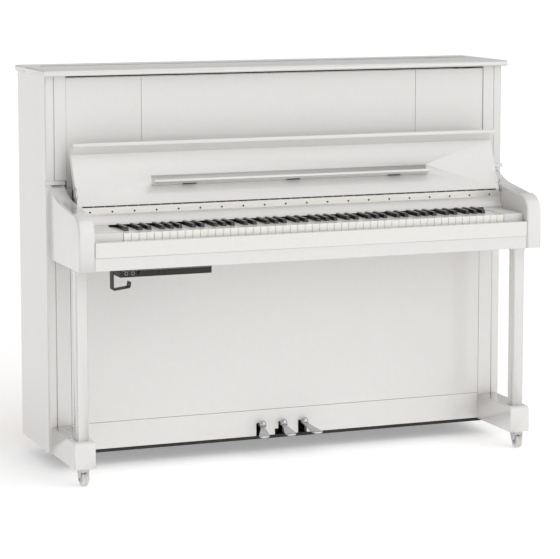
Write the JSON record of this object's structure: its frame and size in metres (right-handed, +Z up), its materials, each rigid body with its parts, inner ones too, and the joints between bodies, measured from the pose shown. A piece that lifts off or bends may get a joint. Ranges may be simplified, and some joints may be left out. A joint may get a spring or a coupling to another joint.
{
  "type": "upright piano",
  "caption": "Upright piano with square legs, an open fallboard with a folding music shelf, pedals, casters, and a mute control box and headphone hook under the keybed.",
  "frame": {"origin": "on the floor, under the centre of the overall box", "axes": "+X to the player's right, +Y to the back, +Z up"},
  "size_m": [1.52, 0.61, 1.21],
  "materials": {
    "white_lacquer": "gloss white polyester lacquer on board",
    "black_board": "matt black stain",
    "chrome": "polished",
    "caster_tread": "moulded nylon",
    "pine": "varnished",
    "beech_ply": "planed",
    "spruce": "varnished quarter-sawn",
    "plate_iron": "bronze paint",
    "string_steel": "drawn wire",
    "action_metal": "cast and planed",
    "felt": "wool felt on wood",
    "black_plastic": "moulded",
    "black_steel": "powder coat",
    "white_key": "wood stick with gloss acrylic top",
    "black_key": "wood stick with black cap"
  },
  "bodies": {
    "case": {"side_left": "white_lacquer", "side_right": "white_lacquer", "front_stiles": "white_lacquer", "arms": "white_lacquer", "legs": "white_lacquer", "toes": "white_lacquer", "keybed": "white_lacquer", "key_slip": "white_lacquer", "key_blocks": "white_lacquer", "name_strip": "white_lacquer", "upper_panel": "white_lacquer", "lower_panel": "white_lacquer", "bottom_rail": "white_lacquer", "bottom_board": "black_board", "lid_back": "white_lacquer", "lid_hinge": "chrome", "back_frame": "pine", "pin_block": "beech_ply", "soundboard": "spruce", "bridges": "beech_ply", "iron_plate": "plate_iron", "tuning_pins": "string_steel", "strings": "string_steel", "key_frame": "pine", "action_frame": "action_metal", "fallboard_hinge": "chrome", "caster_forks": "chrome", "control_box": "black_plastic", "headphone_hook": "black_steel"},
    "lid_front": {"lid_front": "white_lacquer"},
    "fallboard": {"fallboard": "white_lacquer"},
    "music_shelf": {"music_shelf": "white_lacquer"},
    "pedal_left": {"pedal_left": "chrome"},
    "pedal_middle": {"pedal_middle": "chrome"},
    "pedal_right": {"pedal_right": "chrome"},
    "pedal_rod_left": {"pedal_rod_left": "pine"},
    "pedal_rod_middle": {"pedal_rod_middle": "pine"},
    "pedal_rod_right": {"pedal_rod_right": "pine"},
    "hammers": {"hammers": "felt"},
    "hammer_rest_rail": {"hammer_rest_rail": "pine"},
    "dampers": {"dampers": "felt"},
    "mute_rail": {"mute_rail": "felt"},
    "caster_wheel_front_left": {"caster_wheel_front_left": "caster_tread"},
    "caster_wheel_front_right": {"caster_wheel_front_right": "caster_tread"},
    "caster_wheel_rear_left": {"caster_wheel_rear_left": "caster_tread"},
    "caster_wheel_rear_right": {"caster_wheel_rear_right": "caster_tread"},
    "keys_c": {"keys_c": "white_key"},
    "keys_c_sharp": {"keys_c_sharp": "black_key"},
    "keys_d": {"keys_d": "white_key"},
    "keys_d_sharp": {"keys_d_sharp": "black_key"},
    "keys_e": {"keys_e": "white_key"},
    "keys_f": {"keys_f": "white_key"},
    "keys_f_sharp": {"keys_f_sharp": "black_key"},
    "keys_g": {"keys_g": "white_key"},
    "keys_g_sharp": {"keys_g_sharp": "black_key"},
    "keys_a": {"keys_a": "white_key"},
    "keys_a_sharp": {"keys_a_sharp": "black_key"},
    "keys_b": {"keys_b": "white_key"},
    "volume_knob": {"volume_knob": "black_plastic"},
    "power_button": {"power_button": "black_plastic"}
  },
  "joints": [
    {"name": "lid_fold", "type": "hinge", "parent": "case", "child": "lid_front", "pos_m": [0, 0.187, 1.2082], "axis": [-1, 0, 0], "range_deg": [0, 178]},
    {"name": "fallboard_swing", "type": "hinge", "parent": "case", "child": "fallboard", "pos_m": [0, -0.118, 0.809], "axis": [1, 0, 0], "range_deg": [0, 126.2]},
    {"name": "music_shelf_fold", "type": "hinge", "parent": "fallboard", "child": "music_shelf", "pos_m": [0, -0.09341, 0.86373], "axis": [-1, 0, 0], "range_deg": [0, 90]},
    {"name": "pedal_left_press", "type": "hinge", "parent": "case", "child": "pedal_left", "pos_m": [-0.07, 0.06, 0.087], "axis": [1, 0, 0], "range_deg": [0, 6], "stiffness_Nm_per_rad": 40, "springref_deg": -8.59},
    {"name": "pedal_rod_left_lift", "type": "slide", "parent": "case", "child": "pedal_rod_left", "axis": [0, 0, 1], "range_m": [0, 0.0068]},
    {"name": "pedal_middle_press", "type": "hinge", "parent": "case", "child": "pedal_middle", "pos_m": [0, 0.06, 0.087], "axis": [1, 0, 0], "range_deg": [0, 6], "stiffness_Nm_per_rad": 40, "springref_deg": -8.59},
    {"name": "pedal_rod_middle_lift", "type": "slide", "parent": "case", "child": "pedal_rod_middle", "axis": [0, 0, 1], "range_m": [0, 0.0068]},
    {"name": "pedal_right_press", "type": "hinge", "parent": "case", "child": "pedal_right", "pos_m": [0.07, 0.06, 0.087], "axis": [1, 0, 0], "range_deg": [0, 6], "stiffness_Nm_per_rad": 40, "springref_deg": -8.59},
    {"name": "pedal_rod_right_lift", "type": "slide", "parent": "case", "child": "pedal_rod_right", "axis": [0, 0, 1], "range_m": [0, 0.0068]},
    {"name": "hammer_half_blow", "type": "hinge", "parent": "case", "child": "hammers", "pos_m": [0, 0.088, 0.85], "axis": [-1, 0, 0], "range_deg": [0, 12.01]},
    {"name": "rest_rail_swing", "type": "hinge", "parent": "case", "child": "hammer_rest_rail", "pos_m": [0, 0.088, 0.85], "axis": [-1, 0, 0], "range_deg": [0, 12.01]},
    {"name": "damper_lift", "type": "hinge", "parent": "case", "child": "dampers", "pos_m": [0, 0.118, 0.8], "axis": [1, 0, 0], "range_deg": [0, 6.01]},
    {"name": "mute_drop", "type": "slide", "parent": "case", "child": "mute_rail", "axis": [0, 0, -1], "range_m": [0, 0.0221]},
    {"name": "keys_c_press", "type": "hinge", "parent": "case", "child": "keys_c", "pos_m": [0, -0.0555, 0.727], "axis": [1, 0, 0], "range_deg": [0, 2.6], "stiffness_Nm_per_rad": 15, "springref_deg": -3.44},
    {"name": "keys_c_sharp_press", "type": "hinge", "parent": "case", "child": "keys_c_sharp", "pos_m": [0, -0.0555, 0.727], "axis": [1, 0, 0], "range_deg": [0, 2.6], "stiffness_Nm_per_rad": 15, "springref_deg": -3.44},
    {"name": "keys_d_press", "type": "hinge", "parent": "case", "child": "keys_d", "pos_m": [0, -0.0555, 0.727], "axis": [1, 0, 0], "range_deg": [0, 2.6], "stiffness_Nm_per_rad": 15, "springref_deg": -3.44},
    {"name": "keys_d_sharp_press", "type": "hinge", "parent": "case", "child": "keys_d_sharp", "pos_m": [0, -0.0555, 0.727], "axis": [1, 0, 0], "range_deg": [0, 2.6], "stiffness_Nm_per_rad": 15, "springref_deg": -3.44},
    {"name": "keys_e_press", "type": "hinge", "parent": "case", "child": "keys_e", "pos_m": [0, -0.0555, 0.727], "axis": [1, 0, 0], "range_deg": [0, 2.6], "stiffness_Nm_per_rad": 15, "springref_deg": -3.44},
    {"name": "keys_f_press", "type": "hinge", "parent": "case", "child": "keys_f", "pos_m": [0, -0.0555, 0.727], "axis": [1, 0, 0], "range_deg": [0, 2.6], "stiffness_Nm_per_rad": 15, "springref_deg": -3.44},
    {"name": "keys_f_sharp_press", "type": "hinge", "parent": "case", "child": "keys_f_sharp", "pos_m": [0, -0.0555, 0.727], "axis": [1, 0, 0], "range_deg": [0, 2.6], "stiffness_Nm_per_rad": 15, "springref_deg": -3.44},
    {"name": "keys_g_press", "type": "hinge", "parent": "case", "child": "keys_g", "pos_m": [0, -0.0555, 0.727], "axis": [1, 0, 0], "range_deg": [0, 2.6], "stiffness_Nm_per_rad": 15, "springref_deg": -3.44},
    {"name": "keys_g_sharp_press", "type": "hinge", "parent": "case", "child": "keys_g_sharp", "pos_m": [0, -0.0555, 0.727], "axis": [1, 0, 0], "range_deg": [0, 2.6], "stiffness_Nm_per_rad": 15, "springref_deg": -3.44},
    {"name": "keys_a_press", "type": "hinge", "parent": "case", "child": "keys_a", "pos_m": [0, -0.0555, 0.727], "axis": [1, 0, 0], "range_deg": [0, 2.6], "stiffness_Nm_per_rad": 15, "springref_deg": -3.44},
    {"name": "keys_a_sharp_press", "type": "hinge", "parent": "case", "child": "keys_a_sharp", "pos_m": [0, -0.0555, 0.727], "axis": [1, 0, 0], "range_deg": [0, 2.6], "stiffness_Nm_per_rad": 15, "springref_deg": -3.44},
    {"name": "keys_b_press", "type": "hinge", "parent": "case", "child": "keys_b", "pos_m": [0, -0.0555, 0.727], "axis": [1, 0, 0], "range_deg": [0, 2.6], "stiffness_Nm_per_rad": 15, "springref_deg": -3.44},
    {"name": "caster_front_left_roll", "type": "hinge", "parent": "case", "child": "caster_wheel_front_left", "pos_m": [-0.71, -0.221, 0.02], "axis": [1, 0, 0], "continuous": true},
    {"name": "caster_front_right_roll", "type": "hinge", "parent": "case", "child": "caster_wheel_front_right", "pos_m": [0.71, -0.221, 0.02], "axis": [1, 0, 0], "continuous": true},
    {"name": "caster_rear_left_roll", "type": "hinge", "parent": "case", "child": "caster_wheel_rear_left", "pos_m": [-0.68, 0.245, 0.02], "axis": [1, 0, 0], "continuous": true},
    {"name": "caster_rear_right_roll", "type": "hinge", "parent": "case", "child": "caster_wheel_rear_right", "pos_m": [0.68, 0.245, 0.02], "axis": [1, 0, 0], "continuous": true},
    {"name": "volume_turn", "type": "hinge", "parent": "case", "child": "volume_knob", "pos_m": [-0.556, -0.296, 0.634], "axis": [0, 1, 0], "range_deg": [0, 300]},
    {"name": "power_press", "type": "slide", "parent": "case", "child": "power_button", "axis": [0, 1, 0], "range_m": [0, 0.0015], "stiffness_N_per_m": 300, "springref_m": -0.003}
  ],
  "couplings": [
    {"joint": "hammer_half_blow", "follows": "pedal_left_press", "ratio": 2},
    {"joint": "rest_rail_swing", "follows": "pedal_left_press", "ratio": 2},
    {"joint": "damper_lift", "follows": "pedal_right_press", "ratio": 1},
    {"joint": "mute_drop", "follows": "pedal_middle_press", "m_per_rad": 0.21},
    {"joint": "pedal_rod_left_lift", "follows": "pedal_left_press", "m_per_rad": 0.064},
    {"joint": "pedal_rod_middle_lift", "follows": "pedal_middle_press", "m_per_rad": 0.064},
    {"joint": "pedal_rod_right_lift", "follows": "pedal_right_press", "m_per_rad": 0.064}
  ]
}
